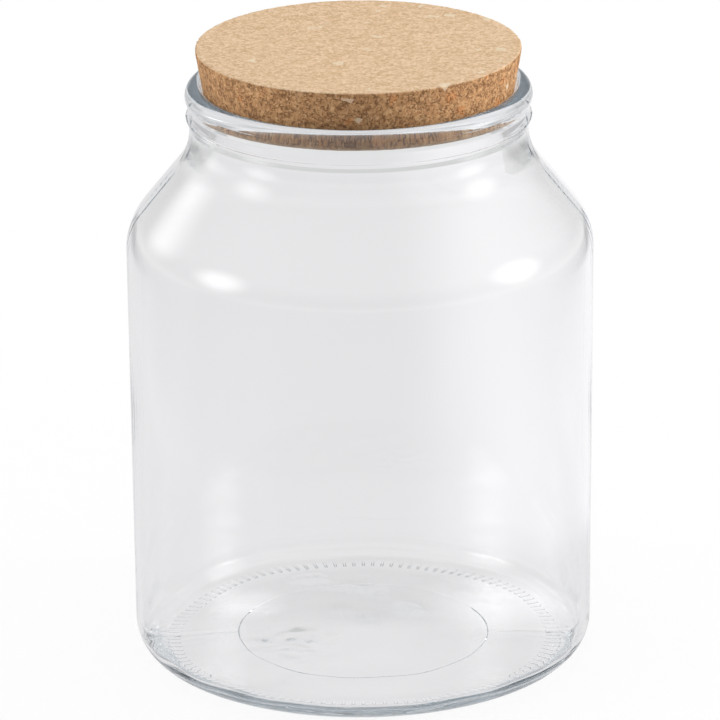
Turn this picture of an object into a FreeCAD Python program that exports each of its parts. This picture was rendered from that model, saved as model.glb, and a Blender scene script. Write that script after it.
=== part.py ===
"""Storage jar of clear glass with a tapered cork stopper.

The jar stands on the XY plane with its axis on Z and the origin at the middle of
its base. It is one blown glass piece. The stopper is one plug of agglomerated cork
that sits in the mouth and lifts straight up.
"""

import FreeCAD, Part
import os
import Sketcher

# Driving sizes in millimetres, angles in degrees from the vertical, and one count
SIZES = {
    "body_diameter": 140.0,
    "body_draft": 0.37,
    "wall": 2.5,
    "base_thickness": 4.5,
    "heel_radius": 10.5,
    "inner_heel_radius": 4.5,
    "shoulder_height": 134.6,
    "shoulder_angle": 38.8,
    "shoulder_radius": 19.0,
    "bore_diameter": 93.2,
    "bore_edge_radius": 1.5,
    "seat_depth": 7.5,
    "bore_blend_radius": 16.0,
    "neck_wall": 3.8,
    "neck_blend_radius": 18.0,
    "neck_height": 20.1,
    "collar_projection": 0.7,
    "collar_width": 1.6,
    "collar_slope_height": 1.8,
    "collar_radius": 2.5,
    "groove_projection": 0.3,
    "groove_width": 0.6,
    "rim_projection": 1.35,
    "rim_height": 6.6,
    "rim_slope_height": 2.4,
    "rim_lower_radius": 5.0,
    "rim_upper_radius": 3.4,
    "bearing_margin": 2.0,
    "push_up_height": 2.4,
    "plate_mark_diameter": 75.2,
    "plate_mark_rise": 0.7,
    "plate_mark_step": 0.3,
    "stipple_count": 120,
    "stipple_overhang": 1.4,
    "stipple_length": 4.2,
    "stipple_width": 1.2,
    "stipple_height": 0.4,
    "cork_height": 17.0,
    "cork_insertion": 5.7,
    "cork_taper": 9.8,
    "cork_edge_radius": 0.4,
    "cork_clearance": 0.2,
}
MATCH_SHARE = 1e-6

# Places worked out from the driving sizes, as expressions on the sheet
BODY_R = "sizes.body_diameter / 2"
INNER_R = f"({BODY_R} - sizes.wall)"
BORE_R = "sizes.bore_diameter / 2"
MOUTH_R = f"({BORE_R} + sizes.bore_edge_radius * tan(sizes.cork_taper))"
THROAT_R = f"({MOUTH_R} - sizes.seat_depth * tan(sizes.cork_taper))"
NECK_R = f"({BORE_R} + sizes.neck_wall)"
COLLAR_R = f"{NECK_R} + sizes.collar_projection"
GROOVE_R = f"{NECK_R} + sizes.groove_projection"
RIM_R = f"{NECK_R} + sizes.rim_projection"
PLATE_R = "sizes.plate_mark_diameter / 2"

RING_Z = "sizes.stipple_height"
FLOOR_Z = f"({RING_Z} + sizes.base_thickness)"
PLATE_Z = f"{RING_Z} + sizes.plate_mark_rise"
CROWN_Z = f"{RING_Z} + sizes.push_up_height"
SHOULDER_Z = "sizes.shoulder_height"
NECK_Z = f"{SHOULDER_Z} + ({BODY_R} - {NECK_R}) / tan(sizes.shoulder_angle)"
LIP_Z = f"{NECK_Z} + sizes.neck_height"
RIM_Z = f"{LIP_Z} - sizes.rim_height"
GROOVE_Z = f"{RIM_Z} - sizes.groove_width"
COLLAR_TOP_Z = f"{GROOVE_Z} - sizes.collar_slope_height"
COLLAR_Z = f"{COLLAR_TOP_Z} - sizes.collar_width"
INNER_SHOULDER_Z = f"{SHOULDER_Z} - sizes.wall * tan(sizes.shoulder_angle / 2)"
INNER_NECK_Z = f"{INNER_SHOULDER_Z} + ({INNER_R} - {THROAT_R}) / tan(sizes.shoulder_angle)"
SEAT_R = f"({BORE_R} - sizes.cork_clearance)"
PLUG_BASE_Z = f"{LIP_Z} - sizes.cork_insertion"
PLUG_TOP_Z = f"{PLUG_BASE_Z} + sizes.cork_height"

FOOT_R = f"({BODY_R} - ({SHOULDER_Z} - {RING_Z}) * tan(sizes.body_draft))"
INNER_FOOT_R = f"({INNER_R} - ({INNER_SHOULDER_Z} - {FLOOR_Z}) * tan(sizes.body_draft))"
STIPPLE_OUTER_R = f"{FOOT_R} - sizes.heel_radius + sizes.stipple_overhang"
STIPPLE_INNER_R = f"{STIPPLE_OUTER_R} - sizes.stipple_length"
BEARING_R = f"{STIPPLE_INNER_R} - sizes.bearing_margin"


def add_sheet(document):
    """Write every driving size into the sheet under its own alias."""
    sheet = document.addObject("Spreadsheet::Sheet", "sizes")
    for row, (alias, value) in enumerate(SIZES.items(), start=1):
        sheet.set(f"A{row}", alias)
        sheet.set(f"B{row}", str(value))
        sheet.setAlias(f"B{row}", alias)
    document.recompute()
    return sheet


def add_body(name):
    """Start a sub-part whose label names its file."""
    body = doc.addObject("PartDesign::Body", name)
    body.Label = name
    return body


def add_sketch(body, name, plane_role):
    """Attach an empty sketch to one of the body's own origin planes."""
    sketch = body.newObject("Sketcher::SketchObject", name)
    planes = [plane for plane in body.Origin.OriginFeatures if plane.Role == plane_role]
    sketch.AttachmentSupport = [(planes[0], "")]
    sketch.MapMode = "FlatFace"
    return sketch


def bind(sketch, kind, line, name, expression):
    """Tie the start of a sketch line to the sketch's origin by a named dimension."""
    start_value = 1.0
    row = sketch.addConstraint(Sketcher.Constraint(kind, -1, 1, line, 1, start_value))
    sketch.renameConstraint(row, name)
    sketch.setExpression(f"Constraints.{name}", expression)


def draw_outline(sketch, corners):
    """Draw a closed outline through named corners, each bound across and up.

    A corner is (name, across, up), and a place of None lies on that sketch axis.
    """
    count = len(corners)
    for line in range(count):
        start = FreeCAD.Vector(line, line * line)
        end = FreeCAD.Vector(line + 1, (line + 1) * (line + 1))
        sketch.addGeometry(Part.LineSegment(start, end))
    for line, (name, across, up) in enumerate(corners):
        sketch.addConstraint(Sketcher.Constraint("Coincident", line - 1 if line else count - 1, 2, line, 1))
        if across is None:
            sketch.addConstraint(Sketcher.Constraint("PointOnObject", line, 1, -2))
        else:
            bind(sketch, "DistanceX", line, f"{name}_across", across)
        if up is None:
            sketch.addConstraint(Sketcher.Constraint("PointOnObject", line, 1, -1))
        else:
            bind(sketch, "DistanceY", line, f"{name}_up", up)
    doc.recompute()


def turn(body, kind, name, corners):
    """Turn a half section about the upright axis, as a solid or as a cut."""
    sketch = add_sketch(body, f"{name}_section", "XZ_Plane")
    draw_outline(sketch, corners)
    feature = body.newObject(kind, name)
    feature.Profile = sketch
    feature.ReferenceAxis = (sketch, ["V_Axis"])
    feature.Angle = 360.0
    doc.recompute()
    return sketch


def round_corner(body, sketch, corners, corner, radius):
    """Round the circular edge that one corner of a turned section leaves."""
    line = [name for name, across, up in corners].index(corner)
    place = sketch.getPoint(line, 1)
    match = MATCH_SHARE * SIZES["body_diameter"]
    base = body.Tip
    edges = []
    for number, edge in enumerate(base.Shape.Edges, start=1):
        if edge.Curve.TypeId != "Part::GeomCircle":
            continue
        off_radius = abs(edge.Curve.Radius - place.x)
        off_height = abs(edge.Curve.Center.z - place.y)
        if max(off_radius, off_height) < match:
            edges.append(f"Edge{number}")
    if not edges:
        raise RuntimeError(f"no edge found at corner {corner}")
    fillet = body.newObject("PartDesign::Fillet", f"{corner}_round")
    fillet.Base = (base, edges)
    fillet.setExpression("Radius", radius)
    doc.recompute()


def stipple(body):
    """Stand a ring of short radial bars on the underside; the jar rests on their tips."""
    sketch = add_sketch(body, "stipple_bar_outline", "XY_Plane")
    half_width = "sizes.stipple_width / 2"
    bar = [
        ("near_right", STIPPLE_INNER_R, f"-{half_width}"),
        ("far_right", STIPPLE_OUTER_R, f"-{half_width}"),
        ("far_left", STIPPLE_OUTER_R, half_width),
        ("near_left", STIPPLE_INNER_R, half_width),
    ]
    draw_outline(sketch, bar)
    pad = body.newObject("PartDesign::Pad", "stipple_bar")
    pad.Profile = sketch
    pad.setExpression("Length", "sizes.stipple_height + sizes.base_thickness / 2")
    doc.recompute()
    ring = body.newObject("PartDesign::PolarPattern", "stipple_ring")
    ring.Originals = [pad]
    ring.Axis = (sketch, ["N_Axis"])
    ring.Angle = 360.0
    ring.setExpression("Occurrences", "sizes.stipple_count")
    body.Tip = ring
    doc.recompute()


def make_glass_jar():
    """Blown jar: outer form, hollow, push-up under the base and stippled bearing ring."""
    jar = add_body("glass_jar")
    outer = [
        ("base_middle", None, RING_Z),
        ("heel", FOOT_R, RING_Z),
        ("shoulder", BODY_R, SHOULDER_Z),
        ("neck", NECK_R, NECK_Z),
        ("collar_foot", NECK_R, f"{COLLAR_Z} - sizes.collar_slope_height"),
        ("collar_lower", COLLAR_R, COLLAR_Z),
        ("collar_upper", COLLAR_R, COLLAR_TOP_Z),
        ("groove_lower", GROOVE_R, GROOVE_Z),
        ("groove_upper", GROOVE_R, RIM_Z),
        ("rim_lower", RIM_R, f"{RIM_Z} + sizes.rim_slope_height"),
        ("rim_upper", RIM_R, LIP_Z),
        ("lip_middle", None, LIP_Z),
    ]
    outer_sketch = turn(jar, "PartDesign::Revolution", "outer_form", outer)
    round_corner(jar, outer_sketch, outer, "heel", "sizes.heel_radius")
    round_corner(jar, outer_sketch, outer, "shoulder", "sizes.shoulder_radius")
    round_corner(jar, outer_sketch, outer, "neck", "sizes.neck_blend_radius")
    round_corner(jar, outer_sketch, outer, "collar_lower", "sizes.collar_radius")
    round_corner(jar, outer_sketch, outer, "collar_upper", "sizes.collar_radius")
    round_corner(jar, outer_sketch, outer, "rim_lower", "sizes.rim_lower_radius")
    round_corner(jar, outer_sketch, outer, "rim_upper", "sizes.rim_upper_radius")

    hollow = [
        ("floor_middle", None, f"{CROWN_Z} + sizes.base_thickness"),
        ("floor_edge", INNER_FOOT_R, FLOOR_Z),
        ("inner_shoulder", INNER_R, INNER_SHOULDER_Z),
        ("inner_neck", THROAT_R, INNER_NECK_Z),
        ("throat", THROAT_R, f"{LIP_Z} - sizes.seat_depth"),
        ("bore_edge", MOUTH_R, LIP_Z),
        ("mouth_middle", None, LIP_Z),
    ]
    hollow_sketch = turn(jar, "PartDesign::Groove", "hollow", hollow)
    round_corner(jar, hollow_sketch, hollow, "floor_edge", "sizes.inner_heel_radius")
    round_corner(jar, hollow_sketch, hollow, "inner_shoulder", "sizes.shoulder_radius - sizes.wall")
    round_corner(jar, hollow_sketch, hollow, "inner_neck", "sizes.bore_blend_radius")
    round_corner(jar, hollow_sketch, hollow, "throat", "sizes.bore_blend_radius")
    round_corner(jar, hollow_sketch, hollow, "bore_edge", "sizes.bore_edge_radius")

    push_up = [
        ("under_middle", None, None),
        ("under_edge", BEARING_R, None),
        ("bearing_edge", BEARING_R, RING_Z),
        ("plate_outer", PLATE_R, PLATE_Z),
        ("plate_inner", PLATE_R, f"{PLATE_Z} - sizes.plate_mark_step"),
        ("crown", None, CROWN_Z),
    ]
    turn(jar, "PartDesign::Groove", "push_up", push_up)
    stipple(jar)
    return jar


def make_cork_stopper():
    """Tapered cork plug that wedges in the mouth, clear of the glass by its clearance."""
    cork = add_body("cork_stopper")
    slope = "tan(sizes.cork_taper)"
    below_seat = "(sizes.cork_insertion - sizes.bore_edge_radius)"
    above_seat = f"(sizes.cork_height - {below_seat})"
    plug = [
        ("plug_base_middle", None, PLUG_BASE_Z),
        ("plug_base", f"{SEAT_R} - {below_seat} * {slope}", PLUG_BASE_Z),
        ("plug_top", f"{SEAT_R} + {above_seat} * {slope}", PLUG_TOP_Z),
        ("plug_top_middle", None, PLUG_TOP_Z),
    ]
    plug_sketch = turn(cork, "PartDesign::Revolution", "plug", plug)
    round_corner(cork, plug_sketch, plug, "plug_base", "sizes.cork_edge_radius")
    round_corner(cork, plug_sketch, plug, "plug_top", "sizes.cork_edge_radius")
    return cork


def check(document, pieces):
    """Stop if any object failed or any sub-part is not one sound solid."""
    for item in document.Objects:
        if "Invalid" in item.State or "Error" in item.State:
            raise RuntimeError(f"{item.Label} failed: {item.State}")
    for piece in pieces:
        shape = piece.Shape
        if shape.isNull() or not shape.isValid() or len(shape.Solids) != 1:
            raise RuntimeError(f"{piece.Label} is not one valid solid")


doc = FreeCAD.newDocument("jar_with_cork_stopper")
add_sheet(doc)
pieces = [make_glass_jar(), make_cork_stopper()]
doc.recompute()
check(doc, pieces)
os.makedirs("parts", exist_ok=True)
for piece in pieces:
    piece.Shape.exportStep(f"parts/{piece.Label}.step")
    print(piece.Label, round(piece.Shape.Volume), "cubic mm")
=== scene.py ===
"""Finished look of the glass storage jar with its cork stopper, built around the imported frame."""

import math
from typing import NamedTuple

import bpy
from bpy.props import FloatProperty, FloatVectorProperty, IntProperty, PointerProperty
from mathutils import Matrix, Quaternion, Vector


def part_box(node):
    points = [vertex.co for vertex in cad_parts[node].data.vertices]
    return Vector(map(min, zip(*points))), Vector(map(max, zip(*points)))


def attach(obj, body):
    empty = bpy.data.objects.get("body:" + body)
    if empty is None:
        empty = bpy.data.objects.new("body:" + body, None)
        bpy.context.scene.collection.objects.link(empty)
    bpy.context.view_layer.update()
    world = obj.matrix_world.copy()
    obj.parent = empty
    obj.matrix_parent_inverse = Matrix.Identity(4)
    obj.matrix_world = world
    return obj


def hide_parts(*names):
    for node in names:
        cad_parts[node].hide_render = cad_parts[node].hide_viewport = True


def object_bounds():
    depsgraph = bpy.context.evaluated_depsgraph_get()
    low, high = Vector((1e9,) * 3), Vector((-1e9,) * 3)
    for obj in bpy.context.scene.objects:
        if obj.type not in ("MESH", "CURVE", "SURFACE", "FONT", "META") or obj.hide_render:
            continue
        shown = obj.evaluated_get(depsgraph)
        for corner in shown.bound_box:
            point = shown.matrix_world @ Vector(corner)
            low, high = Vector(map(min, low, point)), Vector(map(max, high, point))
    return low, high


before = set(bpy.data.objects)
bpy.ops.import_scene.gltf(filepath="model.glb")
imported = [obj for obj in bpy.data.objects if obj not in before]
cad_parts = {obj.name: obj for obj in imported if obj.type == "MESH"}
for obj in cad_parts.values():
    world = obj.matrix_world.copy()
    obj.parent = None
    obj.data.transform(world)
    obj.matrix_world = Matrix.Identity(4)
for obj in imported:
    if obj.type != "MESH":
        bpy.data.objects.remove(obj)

bl_info = {
    "name": "Glass jar with cork stopper",
    "version": (1, 0, 0),
    "blender": (4, 5, 0),
    "location": "3D View > Sidebar > Jar",
    "description": "Models a blown glass jar, its cork stopper and a plain studio",
    "category": "Object",
}

CAD_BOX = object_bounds()
JAR_HIGH = Vector(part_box("glass_jar")[1])
CORK_LOW, CORK_HIGH = (Vector(corner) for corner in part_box("cork_stopper"))

# Fineness of the meshes
ARC_STEP = math.radians(7.5)
SMOOTH_ANGLE = math.radians(40.0)
BEVEL_SEGMENTS = 2
PLUG_COLUMNS = 256
FLOOR_COLUMNS = 128

# Upright part of a normal: at most this on an underside, and between these from the plug's side to a face
FACES_DOWN = -0.9
SIDE_TILT = 0.4
FACE_TILT = 0.8

# Noise that bends the granules, against their size
WARP_SCALE = 0.7
WARP_PUSH = 0.9
NOISE_DETAIL = 2.0

# Tones of the granules at which the dark, middle and pale colours are full
FACE_STOPS = (0.25, 0.5, 0.75)
SIDE_STOPS = (0.15, 0.5, 0.85)

# Random levels from which a large granule is a pale chip or a warm one
PALE_SPAN = (0.975, 0.985)
WARM_SPAN = (0.96, 0.97)

# Torn strokes: distance from a cell's wall, level of the noise that breaks them, and their seeds
STROKE_SPAN = (0.03, 0.1)
BREAK_SPAN = (0.5, 0.56)
BREAK_SCALE = 0.8
BREAK_SEED = 3.0
SHORT_SEED = 0.0
LONG_SEED = 7.0

# Directions of a ray between which the glass sees one part of the room pass into the next
ROOM_TURN = (-0.4, 0.3)
HORIZON = (-0.1, 0.15)
UPPER_ROOM = (0.15, 0.6)

CLIP_START = 0.01


class SoftBox(NamedTuple):
    """A square soft lamp, its direction from the jar in degrees, and whether the glass mirrors it."""

    name: str
    azimuth: float
    height: float
    distance: float
    width: float
    radiance: float
    mirrored: bool


SOFT_BOXES = (
    SoftBox("overhead", azimuth=0.0, height=88.0, distance=1.5, width=1.6, radiance=2.65, mirrored=False),
    SoftBox("left_key", azimuth=-92.0, height=25.0, distance=1.4, width=0.6, radiance=27.5, mirrored=False),
    SoftBox("right_key", azimuth=92.0, height=22.0, distance=1.4, width=0.6, radiance=57.0, mirrored=False),
    SoftBox("left", azimuth=-106.0, height=18.0, distance=1.4, width=1.0, radiance=3.4, mirrored=True),
    SoftBox("left_back", azimuth=-56.0, height=20.0, distance=1.4, width=1.0, radiance=1.25, mirrored=True),
    SoftBox("right", azimuth=95.0, height=19.0, distance=1.4, width=1.0, radiance=3.3, mirrored=True),
)


def length(name, description, default):
    """A size in metres that a user can change."""
    return FloatProperty(name=name, description=description, default=default, unit="LENGTH", precision=5)


def share(name, description, default):
    """A plain share, strength or ratio."""
    return FloatProperty(name=name, description=description, default=default)


def count(name, description, default):
    """A whole number of things."""
    return IntProperty(name=name, description=description, default=default)


def optic(name, description, default):
    """A length inside the camera, in millimetres."""
    return FloatProperty(name=name, description=description, default=default, unit="CAMERA")


def angle(name, description, degrees):
    """An angle, written in degrees."""
    return FloatProperty(name=name, description=description, default=math.radians(degrees), subtype="ANGLE")


def colour(name, description, default):
    """A linear colour."""
    return FloatVectorProperty(
        name=name, description=description, default=default, subtype="COLOR", size=3, min=0.0, max=1.0
    )


class JarGlassSettings(bpy.types.PropertyGroup):
    """Sizes of the blown glass and its clearness."""

    body_radius: length("Body radius", "Outer radius of the straight wall", JAR_HIGH.x)
    lip_height: length("Lip height", "Height of the lip above the ground", JAR_HIGH.z)
    wall: length("Wall", "Thickness of the wall", 0.0025)
    draft: angle("Draft", "Narrowing of the wall towards the base", 0.37)
    base: length("Base", "Thickness of the base", 0.0045)
    heel_round: length("Heel round", "Outer radius between base and wall", 0.0105)
    inner_heel_round: length("Inner heel round", "Inner radius between floor and wall", 0.0045)
    shoulder_angle: angle("Shoulder angle", "Slope of the shoulder from the vertical", 38.8)
    shoulder_round: length("Shoulder round", "Outer radius between wall and shoulder", 0.019)
    neck_height: length("Neck height", "From the top of the shoulder's slope to the lip", 0.0201)
    neck_blend: length("Neck blend", "Outer hollow radius between shoulder and neck", 0.018)
    bore_radius: length("Bore radius", "Inner radius of the mouth", 0.0466)
    seat_taper: angle("Seat taper", "Slope of the mouth that seats the plug, from the vertical", 9.8)
    seat_deep: length("Seat depth", "Depth of the tapered seat under the lip", 0.0075)
    bore_edge: length("Bore edge", "Inner round of the lip", 0.0015)
    bore_blend: length("Bore blend", "Inner round between shoulder and bore", 0.016)
    neck_wall: length("Neck wall", "Thickness of the neck", 0.0038)
    collar_out: length("Collar", "How far the collar ring stands out of the neck", 0.0007)
    collar_width: length("Collar width", "Height of the collar ring's face", 0.0016)
    collar_slope: length("Collar slope", "Height of the collar ring's slopes", 0.0018)
    collar_round: length("Collar round", "Radius of the collar ring's edges", 0.0025)
    groove_out: length("Groove", "How far the groove's floor stands out of the neck", 0.0003)
    groove_width: length("Groove width", "Height of the groove's floor", 0.0006)
    groove_round: length("Groove round", "Radius in the groove", 0.001)
    rim_out: length("Rim", "How far the rim bead stands out of the neck", 0.00135)
    rim_height: length("Rim height", "From the groove to the lip", 0.0066)
    rim_slope: length("Rim slope", "Height of the slope under the rim bead", 0.0024)
    rim_lower_round: length("Lower rim round", "Radius of the rim bead's lower edge", 0.005)
    rim_upper_round: length("Upper rim round", "Radius of the lip's outer edge", 0.0034)
    parting_out: length("Parting line", "Height of the mould's parting line", 0.0004)
    parting_width: length("Parting line width", "Width of the mould's parting line", 0.0003)
    parting_slope: length("Parting line slope", "Height of the parting line's flanks", 0.00007)
    push_up: length("Push-up", "Rise of the underside at its middle", 0.0024)
    plate_radius: length("Plate mark", "Radius of the mould plate's mark", 0.0376)
    plate_rise: length("Plate rise", "Rise of the underside up to the plate's mark", 0.0007)
    plate_step: length("Plate step", "Step at the plate's mark", 0.0003)
    bearing_margin: length("Bearing margin", "Bearing ring inside the stipples", 0.002)
    stipple_over: length("Stipple overhang", "How far the stipples reach out on to the heel round", 0.0014)
    stipple_long: length("Stipple length", "Radial length of a stipple", 0.0042)
    stipple_high: length("Stipple height", "Height of a stipple", 0.0004)
    stipple_round: length("Stipple round", "Rounding of a stipple's edges", 0.0003)
    stipples: count("Stipples", "Number of stipples", 120)
    columns: count("Columns", "Columns of faces for each stipple", 3)
    weld: length("Weld", "Distance under which points of the spun section become one", 0.00004)
    seam_high: length("Seam", "Height of the mould's two side seams", 0.00006)
    wave_high: length("Wall wave", "Unevenness of the blown inner wall", 0.0003)
    wave_wide: length("Wall wave width", "Breadth of the waves in the inner wall", 0.028)
    floor_wave_high: length("Floor wave", "Unevenness of the floor inside", 0.0007)
    floor_wave_wide: length("Floor wave width", "Breadth of the waves in the floor", 0.016)
    swirl_high: length("Swirl", "Unevenness of the chilled swirl in the floor", 0.0012)
    swirl_wide: length("Swirl width", "Breadth of the waves in the swirl", 0.0055)
    swirl_reach: length("Swirl reach", "Radius of the swirl", 0.018)
    swirl_left: length("Swirl place", "How far the swirl lies to the left of the middle", 0.020)
    swirl_front: length("Swirl front", "How far the swirl lies in front of the middle", 0.016)
    refraction: share("Refraction", "Index of refraction", 1.51)
    tint: colour("Tint", "Colour that thick glass leaves in the light", (0.42, 0.52, 0.58))
    tint_density: share("Tint density", "Absorption for each metre of glass", 6.0)
    shadow_tint: colour("Shadow tint", "Share of lamp light that a surface lets through", (0.93, 0.94, 0.94))


class CorkSettings(bpy.types.PropertyGroup):
    """Sizes of the plug and its granules, and the cork's colours."""

    top_radius: length("Top radius", "Radius of the plug's top", CORK_HIGH.x)
    taper: angle("Taper", "Slope of the plug's side from the vertical", 9.8)
    edge: length("Edge", "Rounding of the plug's edges", 0.0003)
    voxel: length("Facet", "Spacing of the cork's surface mesh", 0.0006)
    grit: length("Grit", "Breadth of the finest grains", 0.00033)
    small_granule: length("Small granule", "Size of a small granule", 0.00055)
    granule: length("Granule", "Size of a common granule", 0.0011)
    large_granule: length("Large granule", "Size of a large granule", 0.00132)
    chip: length("Chip", "Size of the few largest granules", 0.0028)
    stroke: length("Stroke", "Spacing of the short dark strokes on the cut side", 0.00085)
    long_stroke: length("Long stroke", "Spacing of the long dark strokes on the cut side", 0.00136)
    gap_deep: length("Gap depth", "Unevenness of the cut side", 0.00016)
    face_deep: length("Face depth", "Unevenness of the sanded faces", 0.00008)
    stroke_deep: length("Stroke depth", "Depth of the dark strokes", 0.0002)
    # A lit and a shaded copy of the cork's colours: the sanded faces' colours are paler as painted light
    # from above, the side's darker as painted shade
    sanded_lit_dark: colour("Sanded dark", "Dark granules of the sanded faces", (0.55, 0.365, 0.21))
    sanded_lit_mid: colour("Sanded middle", "Common granules of the sanded faces", (0.68, 0.48, 0.30))
    sanded_lit_pale: colour("Sanded pale", "Pale granules of the sanded faces", (0.77, 0.58, 0.40))
    side_shaded_dark: colour("Side dark", "Dark granules of the side", (0.36, 0.185, 0.085))
    side_shaded_mid: colour("Side middle", "Common granules of the side", (0.49, 0.262, 0.118))
    side_shaded_pale: colour("Side pale", "Pale granules of the side", (0.65, 0.41, 0.21))
    chip_pale: colour("Pale chip", "Large pale granules", (0.78, 0.69, 0.53))
    chip_warm: colour("Warm chip", "Orange granules", (0.64, 0.26, 0.09))
    binder: colour("Binder", "Dark binder and gaps", (0.10, 0.04, 0.018))
    grit_share: share("Grit share", "Share of the finest grains in the tone", 0.3)
    small_share: share("Small share", "Share of the small granules in the tone", 0.4)
    large_share: share("Large share", "Share of the large granules in the tone", 0.3)
    face_chips: share("Sanded chips", "Strength of the pale chips on the sanded faces", 0.55)
    side_chips: share("Side chips", "Strength of the pale chips on the side", 0.5)
    warm_chips: share("Warm chips", "Strength of the warm chips on the side", 0.5)
    stroke_share: share("Stroke share", "Strength of the dark strokes", 0.7)
    chip_clear: share("Clear chips", "How far the pale chips are free of strokes", 0.8)
    grit_relief: share("Grit relief", "Height of the finest grains against the strokes' depth", 0.5)
    relief: share("Relief", "Strength of the relief in the shading", 0.6)
    roughness: share("Roughness", "Roughness of the cork", 0.85)
    gloss: share("Gloss", "Level of the cork's shine", 0.25)


class StudioSettings(bpy.types.PropertyGroup):
    """Camera, floor, soft lamps and fill light."""

    distance: length("Distance", "From the camera to the point it looks at", 2.014)
    look_height: length("Look height", "Height of the point the camera looks at", 0.09164)
    elevation: angle("Elevation", "Angle at which the camera looks down", 19.344)
    roll: angle("Roll", "Turn of the camera about its line of sight", 0.5)
    aside: length("Aside", "How far the camera stands to the right of the jar", -0.0003)
    lens: optic("Lens", "Focal length", 334.4)
    sensor: optic("Sensor", "Width of the sensor", 36.0)
    floor_radius: length("Floor radius", "Radius of the floor", 1.6)
    floor_grey: colour("Floor colour", "Colour of the floor", (0.86, 0.86, 0.86))
    white_near: share("White near", "Share of plain white in the floor beside the jar", 0.85)
    near: length("Near", "Radius inside which the floor takes shadows", 0.12)
    far: length("Far", "Radius past which the floor is plain white", 0.3)
    glass_left: share("Glass left", "Brightness that the glass shows on the left", 0.82)
    glass_right: share("Glass right", "Brightness that the glass shows on the right", 0.975)
    turn_left: length("Turn left", "Where the brightness in the glass starts to rise", 0.01)
    turn_right: length("Turn right", "Where the brightness in the glass has risen", 0.06)
    behind: length("Behind", "How far behind the jar's middle the right side is brighter", 0.11)
    sweep_near: length("Sweep near", "How far aside the white sweep starts to fade in the glass", 0.24)
    sweep_far: length("Sweep far", "How far aside the white sweep has faded in the glass", 0.42)
    sides: share("Sides", "Brightness that the glass shows of the floor beside the sweep", 0.55)
    # The pools are painted light on the floor, seen only through the glass
    pool: share("Pool", "Brightness that the jar's gathered light adds on the floor", 0.3)
    pool_left: length("Left pool", "How far the left pool lies beside the middle", 0.036)
    pool_right: length("Right pool", "How far the right pool lies beside the middle", 0.045)
    pool_behind: length("Pool behind", "How far the pools lie behind the middle", 0.024)
    pool_reach: length("Pool reach", "Radius of the right pool, twice that of the left one", 0.032)
    backdrop: share("Backdrop", "Brightness that the glass shows low behind the jar", 0.48)
    fill: share("Fill", "Strength of the even light from all round", 0.39)
    surround: share("Surround", "Brightness that the glass shows high up all round", 0.86)
    dark_side: share("Dark side", "Brightness that the glass shows low in front of the jar", 0.42)
    room_front: length("Room front", "Where the floor in front of the jar has turned dark", -0.36)
    room_back: length("Room back", "Where the floor in front of the jar starts to turn dark", -0.08)
    glass_hue: colour("Glass hue", "Hue of the backdrop that the glass shows", (0.991, 0.984, 1.0))
    light_paths: count("Light paths", "Most turns of a light path in the glass", 128)


def deselect_all():
    """Clear the selection, so that no operator changes anything of the frame."""
    bpy.ops.object.select_all(action="DESELECT")


def select_where(mesh, kind, test):
    """In object mode, select the faces, edges or vertices that pass a test."""
    for group in (mesh.polygons, mesh.edges, mesh.vertices):
        group.foreach_set("select", [False] * len(group))
    chosen = [item for item in getattr(mesh, kind) if test(item)]
    for item in chosen:
        item.select = True
    if not chosen:
        raise RuntimeError(f"nothing found to select among the {kind}")


def rounded(corners):
    """Points of an outline through corners (radius, height, rounding), with arcs at the roundings."""
    points = []
    for place, (across, up, radius) in enumerate(corners):
        corner = Vector((across, up))
        if not radius:
            points.append(corner)
            continue
        before = (Vector(corners[place - 1][:2]) - corner).normalized()
        after = (Vector(corners[place + 1][:2]) - corner).normalized()
        half = before.angle(after) / 2
        centre = corner + (before + after).normalized() * (radius / math.sin(half))
        start = corner + before * (radius / math.tan(half)) - centre
        end = corner + after * (radius / math.tan(half)) - centre
        swing = start.angle_signed(end)
        steps = max(2, math.ceil(abs(swing) / ARC_STEP))
        for step in range(steps + 1):
            bend = -swing * step / steps
            cosine, sine = math.cos(bend), math.sin(bend)
            points.append(
                centre + Vector((start.x * cosine - start.y * sine, start.x * sine + start.y * cosine))
            )
    return points


def spaced(points, longest):
    """The same outline with its long straight runs divided."""
    filled = [points[0]]
    for start, end in zip(points, points[1:]):
        parts = max(1, math.ceil((end - start).length / longest))
        filled += [start.lerp(end, part / parts) for part in range(1, parts + 1)]
    return filled


def domed(edge, middle, step, soft):
    """Points from a ring up to the middle, with the tip of the cone softened."""
    parts = math.ceil((edge - middle).length / step)
    full = math.hypot(edge.x, soft) - soft
    points = []
    for part in range(parts + 1):
        across = edge.x * (1.0 - part / parts)
        risen = 1.0 - (math.hypot(across, soft) - soft) / full
        points.append(Vector((across, edge.y + (middle.y - edge.y) * risen)))
    return points


def outer_places(size):
    """Radius of the body, height of the shoulder's corner and radius of the foot, on the outside."""
    body = size.body_radius - size.seam_high
    slope = (body - size.bore_radius - size.neck_wall) / math.tan(size.shoulder_angle)
    shoulder = size.lip_height - size.neck_height - slope
    foot = body - (shoulder - size.stipple_high) * math.tan(size.draft)
    return body, shoulder, foot


def stipple_ring(size):
    """Outer and inner radius of the ring of stipples."""
    outer = outer_places(size)[2] - size.heel_round + size.stipple_over
    return outer, outer - size.stipple_long


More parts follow.
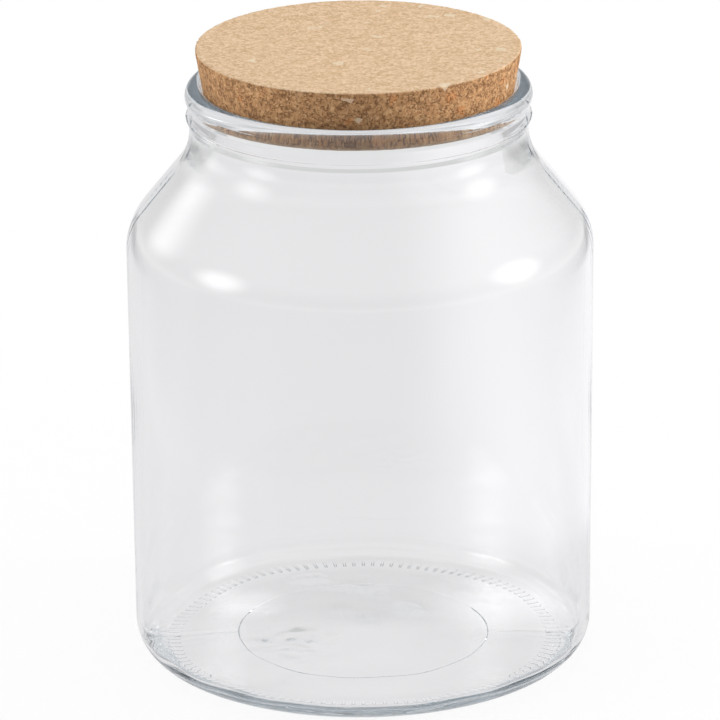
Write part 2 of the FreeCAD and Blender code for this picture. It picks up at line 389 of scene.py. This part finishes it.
def glass_section(size):
    """Half section of the glass, from the middle of the underside round to the middle of the floor."""
    body, shoulder, foot = outer_places(size)
    stipple_inner = stipple_ring(size)[1]
    bore = size.bore_radius
    neck = bore + size.neck_wall
    inner = body - size.wall
    lip = size.lip_height
    neck_foot = lip - size.neck_height
    inner_shoulder = shoulder - size.wall * math.tan(size.shoulder_angle / 2)
    mouth = bore + size.bore_edge * math.tan(size.seat_taper)
    throat = mouth - size.seat_deep * math.tan(size.seat_taper)
    inner_neck = inner_shoulder + (inner - throat) / math.tan(size.shoulder_angle)
    ring = size.stipple_high
    floor = ring + size.base
    inner_foot = inner - (inner_shoulder - floor) * math.tan(size.draft)
    crown = ring + size.push_up
    plate = ring + size.plate_rise
    rim = lip - size.rim_height
    groove = rim - size.groove_width
    collar_top = groove - size.collar_slope
    collar = collar_top - size.collar_width
    parting = collar + size.collar_width / 2
    half_line = size.parting_width / 2
    half_foot = half_line + size.parting_slope

    corners = [
        (0.0, crown, 0.0),
        (size.plate_radius, plate - size.plate_step, 0.0),
        (size.plate_radius + size.plate_step, plate, 0.0),
        (stipple_inner - size.bearing_margin, ring, 0.0),
        (stipple_inner, ring, 0.0),
        (foot, ring, size.heel_round),
        (body, shoulder, size.shoulder_round),
        (neck, neck_foot, size.neck_blend),
        (neck, collar - size.collar_slope, size.groove_round),
        (neck + size.collar_out, collar, size.collar_round),
        (neck + size.collar_out, parting - half_foot, 0.0),
        (neck + size.collar_out + size.parting_out, parting - half_line, 0.0),
        (neck + size.collar_out + size.parting_out, parting + half_line, 0.0),
        (neck + size.collar_out, parting + half_foot, 0.0),
        (neck + size.collar_out, collar_top, size.collar_round),
        (neck + size.groove_out, groove, size.groove_round),
        (neck + size.groove_out, rim, size.groove_round),
        (neck + size.rim_out, rim + size.rim_slope, size.rim_lower_round),
        (neck + size.rim_out, lip, size.rim_upper_round),
        (mouth, lip, size.bore_edge),
        (throat, lip - size.seat_deep, size.bore_blend),
        (throat, inner_neck, size.bore_blend),
        (inner, inner_shoulder, size.shoulder_round - size.wall),
        (inner_foot, floor, size.inner_heel_round),
        (0.0, crown + size.base, 0.0),
    ]
    outline = rounded(corners)
    fine, coarse = size.wall / 2, 2 * size.wall
    under = domed(outline[1], outline[0], fine, coarse)
    floor_run = domed(outline[-2], outline[-1], fine, coarse)
    return under[:0:-1] + spaced(outline[1:-1], coarse) + floor_run[1:]


class JAR_OT_glass(bpy.types.Operator):
    """Blow the jar: draw its half section, spin it, press the stipples and let the inner wall wave"""

    bl_idname = "jar.glass"
    bl_label = "Glass jar"
    bl_options = {"REGISTER", "UNDO"}

    def execute(self, context):
        size = context.scene.jar_glass
        section = glass_section(size)
        deselect_all()
        bpy.ops.mesh.primitive_plane_add(size=size.wall, location=(0.0, 0.0, 0.0))
        jar = context.active_object
        jar.name = jar.data.name = "jar_glass"
        self.draw_section(jar, section)
        self.spin(size)
        self.press_stipples(jar, size)
        self.raise_seams(jar, size)
        self.wave(jar, size)
        bpy.ops.object.shade_smooth_by_angle(angle=SMOOTH_ANGLE)
        jar.data.materials.clear()
        jar.data.materials.append(clear_glass(size))
        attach(jar, "jar")
        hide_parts("glass_jar")
        return {"FINISHED"}

    def draw_section(self, jar, section):
        """Keep one corner of the plane and extrude it along the half section."""
        select_where(jar.data, "vertices", lambda vertex: vertex.index > 0)
        bpy.ops.object.mode_set(mode="EDIT")
        bpy.ops.mesh.select_mode(type="VERT")
        bpy.ops.mesh.delete(type="VERT")
        bpy.ops.object.mode_set(mode="OBJECT")
        jar.data.vertices[0].co = (section[0].x, 0.0, section[0].y)
        jar.data.vertices[0].select = True
        bpy.ops.object.mode_set(mode="EDIT")
        for start, end in zip(section, section[1:]):
            step = (end.x - start.x, 0.0, end.y - start.y)
            bpy.ops.mesh.extrude_region_move(TRANSFORM_OT_translate={"value": step})
        bpy.ops.mesh.select_all(action="SELECT")

    def spin(self, size):
        """Turn the section round the upright axis and close the seam and both poles."""
        steps = size.stipples * size.columns
        column = math.tau / steps
        bpy.ops.mesh.spin(steps=steps, angle=math.tau, center=(0.0, 0.0, 0.0), axis=(0.0, 0.0, 1.0))
        bpy.ops.mesh.select_all(action="SELECT")
        bpy.ops.mesh.remove_doubles(threshold=size.weld)
        bpy.ops.mesh.normals_make_consistent(inside=False)
        bpy.ops.transform.rotate(value=column / 2, orient_axis="Z", center_override=(0.0, 0.0, 0.0))
        bpy.ops.object.mode_set(mode="OBJECT")

    def press_stipples(self, jar, size):
        """Extrude every stipple down from the bearing ring and round its edges."""
        outer, inner = stipple_ring(size)
        pitch = math.tau / size.stipples
        half_column = pitch / size.columns / 2

        def on_stipple(face):
            place = face.center
            radius = math.hypot(place.x, place.y)
            turn = math.atan2(place.y, place.x) % pitch
            return (
                inner < radius < outer
                and face.normal.z < FACES_DOWN
                and min(turn, pitch - turn) < half_column
            )

        select_where(jar.data, "polygons", on_stipple)
        bpy.ops.object.mode_set(mode="EDIT")
        bpy.ops.mesh.select_mode(type="FACE")
        down = (0.0, 0.0, -size.stipple_high)
        bpy.ops.mesh.extrude_region_move(TRANSFORM_OT_translate={"value": down})
        bpy.ops.transform.resize(value=(1.0, 1.0, 0.0), center_override=(0.0, 0.0, 0.0))
        bpy.ops.mesh.region_to_loop()
        bpy.ops.mesh.bevel(offset=size.stipple_round, segments=BEVEL_SEGMENTS, affect="EDGES")
        bpy.ops.object.mode_set(mode="OBJECT")

    def raise_seams(self, jar, size):
        """Lift the two lines where the halves of the mould met, from the plate's mark to the collar."""
        column = math.tau / size.stipples / size.columns
        collar = size.lip_height - size.rim_height - size.groove_width
        low = size.plate_radius + 2 * size.plate_step

        def on_seam(vertex):
            place = vertex.co
            radius = math.hypot(place.x, place.y)
            turn = abs(math.atan2(place.y, abs(place.x)))
            under = radius < size.body_radius - size.heel_round and vertex.normal.z < FACES_DOWN
            beside = vertex.normal.x * place.x > 0.0 and radius > size.bore_radius + size.neck_wall / 2
            on_stipple = place.z < size.stipple_high - size.seam_high / 2
            in_line = turn < column and low < radius and place.z < collar
            return in_line and (under or beside) and not on_stipple

        select_where(jar.data, "vertices", on_seam)
        bpy.ops.object.mode_set(mode="EDIT")
        bpy.ops.mesh.select_mode(type="VERT")
        bpy.ops.transform.shrink_fatten(value=size.seam_high)
        bpy.ops.object.mode_set(mode="OBJECT")

    def wave(self, jar, size):
        """Make the blown inner wall and the floor a little uneven."""
        inner_top = size.lip_height - 2 * size.neck_height
        floor_top = 2 * size.base + size.push_up
        floor_reach = size.body_radius - size.wall
        wall = jar.vertex_groups.new(name="inner_wall")
        floor = jar.vertex_groups.new(name="floor")
        swirl = jar.vertex_groups.new(name="swirl")
        for vertex in jar.data.vertices:
            place, normal = vertex.co, vertex.normal
            inwards = place.x * normal.x + place.y * normal.y < 0.0
            on_floor = size.base < place.z <= floor_top and normal.z > 0.0 and place.length < floor_reach
            if inwards and floor_top < place.z < inner_top:
                wall.add([vertex.index], min(1.0, (inner_top - place.z) / size.neck_height), "REPLACE")
            elif on_floor:
                floor.add([vertex.index], 1.0, "REPLACE")
                off_middle = math.hypot(place.x + size.swirl_left, place.y + size.swirl_front)
                swirl.add([vertex.index], max(0.0, 1.0 - off_middle / size.swirl_reach), "REPLACE")
        displace(jar, "inner_wall", "BLENDER_ORIGINAL", size.wave_wide, size.wave_high)
        displace(jar, "floor", "BLENDER_ORIGINAL", size.floor_wave_wide, size.floor_wave_high)
        displace(jar, "swirl", "BLENDER_ORIGINAL", size.swirl_wide, size.swirl_high)


def displace(piece, group, basis, scale, strength):
    """Move one group of vertices along their normals by a cloud pattern, and apply it."""
    name = f"{group}_pattern"
    pattern = bpy.data.textures.new(name, "CLOUDS")
    pattern.noise_basis = basis
    pattern.noise_scale = scale
    pattern.noise_depth = 0
    modifier = piece.modifiers.new(name, "DISPLACE")
    modifier.texture = pattern
    modifier.texture_coords = "LOCAL"
    modifier.vertex_group = group
    modifier.strength = strength
    bpy.context.view_layer.objects.active = piece
    bpy.ops.object.modifier_apply(modifier=name)


def new_material(name):
    """An empty node material with its output."""
    material = bpy.data.materials.new(name)
    material.use_nodes = True
    tree = material.node_tree
    tree.nodes.clear()
    return material, tree, tree.nodes.new("ShaderNodeOutputMaterial")


def node(tree, kind, inputs=None, **settings):
    """Add a node, set its options, and set or link its inputs."""
    made = tree.nodes.new(kind)
    for name, value in settings.items():
        setattr(made, name, value)
    for name, value in (inputs or {}).items():
        socket = made.inputs[name]
        if isinstance(value, bpy.types.NodeSocket):
            tree.links.new(value, socket)
        elif socket.type == "RGBA":
            socket.default_value = (*value, 1.0)
        else:
            socket.default_value = value
    return made


def math_node(tree, operation, first, second):
    """The result of a sum on two values."""
    return node(tree, "ShaderNodeMath", {0: first, 1: second}, operation=operation).outputs["Value"]


def scaled(tree, value, factor):
    """A value times a plain factor."""
    return math_node(tree, "MULTIPLY", value, factor)


def inverse(tree, value):
    """One less a value."""
    return math_node(tree, "SUBTRACT", 1.0, value)


def weighed(tree, *parts):
    """The sum of some values, each times its share."""
    total = 0.0
    for value, part in parts:
        total = math_node(tree, "ADD", total, scaled(tree, value, part))
    return total


def ranged(tree, value, span, low=0.0, high=1.0, course="LINEAR"):
    """A level that goes from low to high while a value crosses a span."""
    return node(
        tree,
        "ShaderNodeMapRange",
        {"Value": value, "From Min": span[0], "From Max": span[1], "To Min": low, "To Max": high},
        interpolation_type=course,
    ).outputs["Result"]


def eased(tree, value, span, low, high):
    """The same with a soft start and end."""
    return ranged(tree, value, span, low, high, "SMOOTHSTEP")


def mixed(tree, factor, first, second):
    """Mix two shaders by a factor."""
    return node(tree, "ShaderNodeMixShader", {0: factor, 1: first, 2: second}).outputs["Shader"]


def blend(tree, factor, first, second):
    """Mix two colours by a factor."""
    return node(
        tree,
        "ShaderNodeMix",
        {"Factor": factor, 6: first, 7: second},
        data_type="RGBA",
    ).outputs[2]


def ramp(tree, value, places, *tones):
    """A colour that follows a value through tones at the given places."""
    made = node(tree, "ShaderNodeValToRGB", {"Fac": value})
    elements = made.color_ramp.elements
    while len(elements) < len(places):
        elements.new(1.0)
    for element, place, tone in zip(elements, places, tones):
        element.position = place
        element.color = (*tone, 1.0)
    return made.outputs["Color"]


def clear_glass(size):
    """Clear glass with a faint tint in its thickness, which lets the lamps through to the floor."""
    material, tree, output = new_material("clear_glass")
    glass = node(
        tree,
        "ShaderNodeBsdfPrincipled",
        {
            "Base Color": (1.0, 1.0, 1.0),
            "Roughness": 0.0,
            "IOR": size.refraction,
            "Transmission Weight": 1.0,
        },
    ).outputs["BSDF"]
    passing = node(tree, "ShaderNodeBsdfTransparent", {"Color": size.shadow_tint}).outputs["BSDF"]
    in_shadow = node(tree, "ShaderNodeLightPath").outputs["Is Shadow Ray"]
    tint = node(tree, "ShaderNodeVolumeAbsorption", {"Color": size.tint, "Density": size.tint_density})
    tree.links.new(mixed(tree, in_shadow, glass, passing), output.inputs["Surface"])
    tree.links.new(tint.outputs["Volume"], output.inputs["Volume"])
    return material


class JAR_OT_cork(bpy.types.Operator):
    """Turn the tapered plug, mesh it evenly and open the gaps between its granules"""

    bl_idname = "jar.cork"
    bl_label = "Cork stopper"
    bl_options = {"REGISTER", "UNDO"}

    def execute(self, context):
        size = context.scene.jar_cork
        height = CORK_HIGH.z - CORK_LOW.z - 2 * size.face_deep
        bottom_radius = size.top_radius - height * math.tan(size.taper)
        deselect_all()
        bpy.ops.mesh.primitive_cone_add(
            vertices=PLUG_COLUMNS,
            radius1=bottom_radius,
            radius2=size.top_radius,
            depth=height,
            location=(0.0, 0.0, (CORK_LOW.z + CORK_HIGH.z) / 2),
        )
        cork = context.active_object
        cork.name = cork.data.name = "cork_plug"
        bpy.ops.object.transform_apply(location=True, rotation=True, scale=True)
        self.round_edges(cork, size)
        self.mesh_evenly(cork, size)
        self.open_gaps(cork, size)
        bpy.ops.object.shade_smooth()
        cork.data.materials.clear()
        cork.data.materials.append(agglomerated_cork(size))
        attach(cork, "stopper")
        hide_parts("cork_stopper")
        return {"FINISHED"}

    def round_edges(self, cork, size):
        """Take the sharpness off both edges of the plug."""
        corners = cork.data.vertices

        def on_rim(edge):
            first, second = (corners[number].co.z for number in edge.vertices)
            return abs(first - second) < size.edge

        select_where(cork.data, "edges", on_rim)
        bpy.ops.object.mode_set(mode="EDIT")
        bpy.ops.mesh.select_mode(type="EDGE")
        bpy.ops.mesh.bevel(offset=size.edge, segments=BEVEL_SEGMENTS, affect="EDGES")
        bpy.ops.object.mode_set(mode="OBJECT")

    def mesh_evenly(self, cork, size):
        """Give the plug small even facets and keep which of them are sanded faces."""
        remesh = cork.modifiers.new("even_facets", "REMESH")
        remesh.mode = "VOXEL"
        remesh.voxel_size = size.voxel
        bpy.ops.object.modifier_apply(modifier=remesh.name)
        span = FACE_TILT - SIDE_TILT
        tilts = [(abs(vertex.normal.z) - SIDE_TILT) / span for vertex in cork.data.vertices]
        flats = [min(1.0, max(0.0, tilt)) for tilt in tilts]
        faces = cork.vertex_groups.new(name="sanded_faces")
        side = cork.vertex_groups.new(name="cut_side")
        for number, flat in enumerate(flats):
            faces.add([number], flat, "REPLACE")
            side.add([number], 1.0 - flat, "REPLACE")
        sanded = cork.data.attributes.new("sanded", "FLOAT", "POINT")
        sanded.data.foreach_set("value", flats)

    def open_gaps(self, cork, size):
        """Sink the gaps between granules, deep on the cut side and shallow on the sanded faces."""
        displace(cork, "cut_side", "VORONOI_F1", 2 * size.granule, size.gap_deep)
        displace(cork, "sanded_faces", "VORONOI_F1", 2 * size.granule, size.face_deep)


def agglomerated_cork(size):
    """Glued cork granules, fine on the sanded faces and torn into dark strokes on the cut side; the faces'
    paler colours are painted light from above and the side's darker colours painted shade.
    """
    material, tree, output = new_material("agglomerated_cork")
    place = node(tree, "ShaderNodeTexCoord").outputs["Object"]
    sanded = node(tree, "ShaderNodeAttribute", attribute_name="sanded").outputs["Fac"]
    bent = warped(tree, place, size.granule)

    grit = grains(tree, place, size.grit)
    small = cells(tree, bent, size.small_granule)["Red"]
    large = cells(tree, bent, size.large_granule)["Red"]
    tone = weighed(tree, (small, size.small_share), (large, size.large_share), (grit, size.grit_share))
    # Painted light and shade: the faces take the paler, lit tones and the side the darker, shaded tones of
    # the same granules
    face = ramp(tree, tone, FACE_STOPS, size.sanded_lit_dark, size.sanded_lit_mid, size.sanded_lit_pale)
    side = ramp(tree, tone, SIDE_STOPS, size.side_shaded_dark, size.side_shaded_mid, size.side_shaded_pale)
    chips = cells(tree, bent, size.chip)
    pale_chip = ranged(tree, chips["Red"], PALE_SPAN)
    warm_chip = ranged(tree, chips["Green"], WARM_SPAN)
    face = blend(tree, scaled(tree, pale_chip, size.face_chips), face, size.chip_pale)
    side = blend(tree, scaled(tree, warm_chip, size.warm_chips), side, size.chip_warm)
    side = blend(tree, scaled(tree, pale_chip, size.side_chips), side, size.chip_pale)

    short_strokes = torn_strokes(tree, place, size.stroke, SHORT_SEED)
    long_strokes = torn_strokes(tree, place, size.long_stroke, LONG_SEED)
    strokes = math_node(tree, "MAXIMUM", short_strokes, long_strokes)
    off_chips = inverse(tree, scaled(tree, pale_chip, size.chip_clear))
    torn = math_node(tree, "MULTIPLY", strokes, off_chips)
    side = blend(tree, scaled(tree, torn, size.stroke_share), side, size.binder)

    deep = math_node(tree, "MULTIPLY", torn, inverse(tree, sanded))
    height = math_node(tree, "SUBTRACT", scaled(tree, grit, size.grit_relief), deep)
    bump = node(
        tree,
        "ShaderNodeBump",
        {"Height": height, "Strength": size.relief, "Distance": size.stroke_deep},
    )
    surface = node(
        tree,
        "ShaderNodeBsdfPrincipled",
        {
            # The paler faces carry painted light, the darker side painted shade
            "Base Color": blend(tree, sanded, side, face),
            "Roughness": size.roughness,
            "Specular IOR Level": size.gloss,
            "Normal": bump.outputs["Normal"],
        },
    )
    tree.links.new(surface.outputs["BSDF"], output.inputs["Surface"])
    return material


def grains(tree, place, breadth):
    """Soft noise with light and dark patches of the given breadth."""
    return node(
        tree,
        "ShaderNodeTexNoise",
        {"Vector": place, "Scale": 1.0 / (2 * breadth), "Detail": NOISE_DETAIL},
    ).outputs["Fac"]


def cells(tree, place, spacing):
    """Even random tones, one set for each granule."""
    made = node(tree, "ShaderNodeTexVoronoi", {"Vector": place, "Scale": 1.0 / spacing})
    return node(tree, "ShaderNodeSeparateColor", {"Color": made.outputs["Color"]}).outputs


def warped(tree, place, granule):
    """The place pushed about by noise, so that granules get uneven outlines."""
    warp = node(
        tree,
        "ShaderNodeTexNoise",
        {"Vector": place, "Scale": WARP_SCALE / granule, "Detail": NOISE_DETAIL},
    )
    lean = node(
        tree,
        "ShaderNodeVectorMath",
        {0: warp.outputs["Color"], 1: (0.5, 0.5, 0.5)},
        operation="SUBTRACT",
    )
    push = node(
        tree,
        "ShaderNodeVectorMath",
        {0: lean.outputs["Vector"], "Scale": WARP_PUSH * granule},
        operation="SCALE",
    )
    return node(
        tree,
        "ShaderNodeVectorMath",
        {0: place, 1: push.outputs["Vector"]},
        operation="ADD",
    ).outputs["Vector"]


def torn_strokes(tree, place, spacing, seed):
    """Short thin curls: bent walls between cells, broken up by noise."""
    walls = node(
        tree,
        "ShaderNodeTexVoronoi",
        {"Vector": warped(tree, place, spacing), "W": seed, "Scale": 1.0 / spacing},
        feature="DISTANCE_TO_EDGE",
        voronoi_dimensions="4D",
    ).outputs["Distance"]
    breaks = node(
        tree,
        "ShaderNodeTexNoise",
        {"Vector": place, "W": seed + BREAK_SEED, "Scale": BREAK_SCALE / spacing, "Detail": 1.0},
        noise_dimensions="4D",
    ).outputs["Fac"]
    thin = ranged(tree, walls, STROKE_SPAN, 1.0, 0.0)
    return math_node(tree, "MULTIPLY", thin, ranged(tree, breaks, BREAK_SPAN))


class JAR_OT_studio(bpy.types.Operator):
    """Set up the pale floor, the soft lamps, the even fill and the camera"""

    bl_idname = "jar.studio"
    bl_label = "Studio"
    bl_options = {"REGISTER", "UNDO"}

    def execute(self, context):
        size = context.scene.jar_studio
        self.floor(context, size)
        self.lamps(context)
        self.fill(context, size)
        self.camera(context, size)
        context.scene.view_settings.view_transform = "Standard"
        for limit in ("max_bounces", "glossy_bounces", "transmission_bounces", "transparent_max_bounces"):
            setattr(context.scene.cycles, limit, size.light_paths)
        return {"FINISHED"}

    def floor(self, context, size):
        """Lay a round pale floor, white to the eye, that keeps the jar's shadow and is clear from below."""
        deselect_all()
        bpy.ops.mesh.primitive_circle_add(
            vertices=FLOOR_COLUMNS,
            radius=size.floor_radius,
            fill_type="NGON",
            location=(0.0, 0.0, 0.0),
        )
        floor = context.active_object
        floor.name = floor.data.name = "floor"
        material, tree, output = new_material("pale_floor")
        place = node(tree, "ShaderNodeTexCoord").outputs["Object"]
        radius = node(tree, "ShaderNodeVectorMath", {0: place}, operation="LENGTH").outputs["Value"]
        white = ranged(tree, radius, (size.near, size.far), size.white_near, 1.0)
        camera, in_glass = self.eye_paths(tree)
        matte = node(tree, "ShaderNodeBsdfDiffuse", {"Color": size.floor_grey}).outputs["BSDF"]
        plain = node(tree, "ShaderNodeEmission", {"Color": (1.0, 1.0, 1.0), "Strength": 1.0})
        toned = node(
            tree,
            "ShaderNodeEmission",
            {"Color": size.glass_hue, "Strength": self.floor_in_glass(tree, place, size)},
        )
        seen = mixed(tree, math_node(tree, "MULTIPLY", white, camera), matte, plain.outputs["Emission"])
        above = mixed(tree, in_glass, seen, toned.outputs["Emission"])
        below = node(tree, "ShaderNodeNewGeometry").outputs["Backfacing"]
        clear = node(tree, "ShaderNodeBsdfTransparent").outputs["BSDF"]
        tree.links.new(mixed(tree, below, above, clear), output.inputs["Surface"])
        floor.data.materials.append(material)

    def floor_in_glass(self, tree, place, size):
        """Brightness of the floor through the glass: a sweep, brighter on the right, in a dim room."""
        parts = node(tree, "ShaderNodeSeparateXYZ", {"Vector": place}).outputs
        across, apart = parts["X"], parts["Y"]
        aside = node(tree, "ShaderNodeMath", {0: across}, operation="ABSOLUTE").outputs["Value"]
        turn = (size.turn_left, size.turn_right)
        rising = eased(tree, across, turn, size.glass_left, size.glass_right)
        tone = eased(tree, apart, (size.behind / 2, size.behind), size.glass_left, rising)
        sweep = eased(tree, aside, (size.sweep_near, size.sweep_far), tone, size.sides)
        room = eased(tree, apart, (size.room_front, size.room_back), size.sides, sweep)
        # Adds the painted pools of light
        return math_node(tree, "ADD", room, self.pools(tree, place, size))

    def pools(self, tree, place, size):
        """Soft pools of light painted on the floor behind the jar's base, in place of the light that the
        round jar gathers there.
        """
        total = 0.0
        for across, radius in ((-size.pool_left, size.pool_reach / 2), (size.pool_right, size.pool_reach)):
            away = node(
                tree,
                "ShaderNodeVectorMath",
                {0: place, 1: (across, size.pool_behind, 0.0)},
                operation="DISTANCE",
            ).outputs["Value"]
            total = math_node(tree, "ADD", total, eased(tree, away, (0.0, radius), size.pool, 0.0))
        return total

    def eye_paths(self, tree):
        """One for rays straight from the camera, and one for rays that came through or off the glass."""
        path = node(tree, "ShaderNodeLightPath").outputs
        in_glass = math_node(tree, "MAXIMUM", path["Is Glossy Ray"], path["Is Transmission Ray"])
        return path["Is Camera Ray"], in_glass

    def lamps(self, context):
        """Hang soft boxes: those that the glass mirrors, and those that only light the cork and floor."""
        target = Vector((0.0, 0.0, CAD_BOX[1][2] / 2))
        for box in SOFT_BOXES:
            lamp = bpy.data.lights.new(box.name, "AREA")
            lamp.shape = "SQUARE"
            lamp.size = box.width
            lamp.energy = box.radiance * math.pi * box.width ** 2
            lamp.use_nodes = True
            self.soften(lamp.node_tree)
            holder = bpy.data.objects.new(box.name, lamp)
            context.collection.objects.link(holder)
            holder.visible_glossy = holder.visible_transmission = box.mirrored
            turn, rise = math.radians(box.azimuth), math.radians(box.height)
            level = math.cos(rise)
            away = Vector((math.sin(turn) * level, math.cos(turn) * level, math.sin(rise)))
            holder.location = target + away * box.distance
            holder.rotation_euler = away.to_track_quat("Z", "Y").to_euler()

    def soften(self, tree):
        """Let a soft box fade out from its middle to its edges."""
        tree.nodes.clear()
        half = 0.5
        place = node(tree, "ShaderNodeNewGeometry").outputs["Parametric"]
        off_middle = node(
            tree,
            "ShaderNodeVectorMath",
            {0: place, 1: (half, half, 0.0)},
            operation="DISTANCE",
        ).outputs["Value"]
        glow = node(tree, "ShaderNodeEmission", {"Strength": eased(tree, off_middle, (0.0, half), 1.0, 0.0)})
        output = tree.nodes.new("ShaderNodeOutputLight")
        tree.links.new(glow.outputs["Emission"], output.inputs["Surface"])

    def fill(self, context, size):
        """Even light from all round, plain white to the eye, and a room with a dim side for the glass."""
        world = bpy.data.worlds.new("studio")
        context.scene.world = world
        world.use_nodes = True
        tree = world.node_tree
        tree.nodes.clear()
        camera, in_glass = self.eye_paths(tree)
        towards = node(tree, "ShaderNodeNewGeometry").outputs["Incoming"]
        parts = node(tree, "ShaderNodeSeparateXYZ", {"Vector": towards}).outputs
        apart, rise = scaled(tree, parts["Y"], -1.0), scaled(tree, parts["Z"], -1.0)
        low = eased(tree, apart, ROOM_TURN, size.dark_side, size.backdrop)
        horizon = eased(tree, rise, HORIZON, size.glass_left, low)
        room = eased(tree, rise, UPPER_ROOM, horizon, size.surround)
        shown = ranged(tree, in_glass, (0.0, 1.0), size.fill, room)
        strength = ranged(tree, camera, (0.0, 1.0), shown, 1.0)
        sky = node(tree, "ShaderNodeBackground", {"Color": (1.0, 1.0, 1.0), "Strength": strength})
        output = tree.nodes.new("ShaderNodeOutputWorld")
        tree.links.new(sky.outputs["Background"], output.inputs["Surface"])

    def camera(self, context, size):
        """Look down at the jar from the front."""
        camera = bpy.data.cameras.new("camera")
        camera.sensor_width = size.sensor
        camera.lens = size.lens
        camera.clip_start = CLIP_START
        holder = bpy.data.objects.new("camera", camera)
        context.collection.objects.link(holder)
        away = Vector((0.0, -math.cos(size.elevation), math.sin(size.elevation)))
        holder.location = Vector((size.aside, 0.0, size.look_height)) + away * size.distance
        lean = Quaternion((0.0, 0.0, 1.0), -size.roll)
        holder.rotation_euler = (away.to_track_quat("Z", "Y") @ lean).to_euler()
        context.scene.camera = holder


class JAR_PT_tools(bpy.types.Panel):
    """Buttons that model the jar, piece by piece"""

    bl_idname = "JAR_PT_tools"
    bl_label = "Glass jar with cork stopper"
    bl_space_type = "VIEW_3D"
    bl_region_type = "UI"
    bl_category = "Jar"

    def draw(self, context):
        for operator in OPERATORS:
            self.layout.operator(operator.bl_idname)


SETTINGS = {"jar_glass": JarGlassSettings, "jar_cork": CorkSettings, "jar_studio": StudioSettings}
OPERATORS = (JAR_OT_glass, JAR_OT_cork, JAR_OT_studio)


def register():
    """Make the settings, operators and panel known."""
    for name, group in SETTINGS.items():
        bpy.utils.register_class(group)
        setattr(bpy.types.Scene, name, PointerProperty(type=group))
    for item in (*OPERATORS, JAR_PT_tools):
        bpy.utils.register_class(item)


def unregister():
    """Take everything away again."""
    for item in reversed((*OPERATORS, JAR_PT_tools)):
        bpy.utils.unregister_class(item)
    for name, group in SETTINGS.items():
        delattr(bpy.types.Scene, name)
        bpy.utils.unregister_class(group)


def main():
    """Model every piece and the studio."""
    register()
    bpy.ops.jar.glass()
    bpy.ops.jar.cork()
    bpy.ops.jar.studio()


if __name__ == "__main__":
    main()
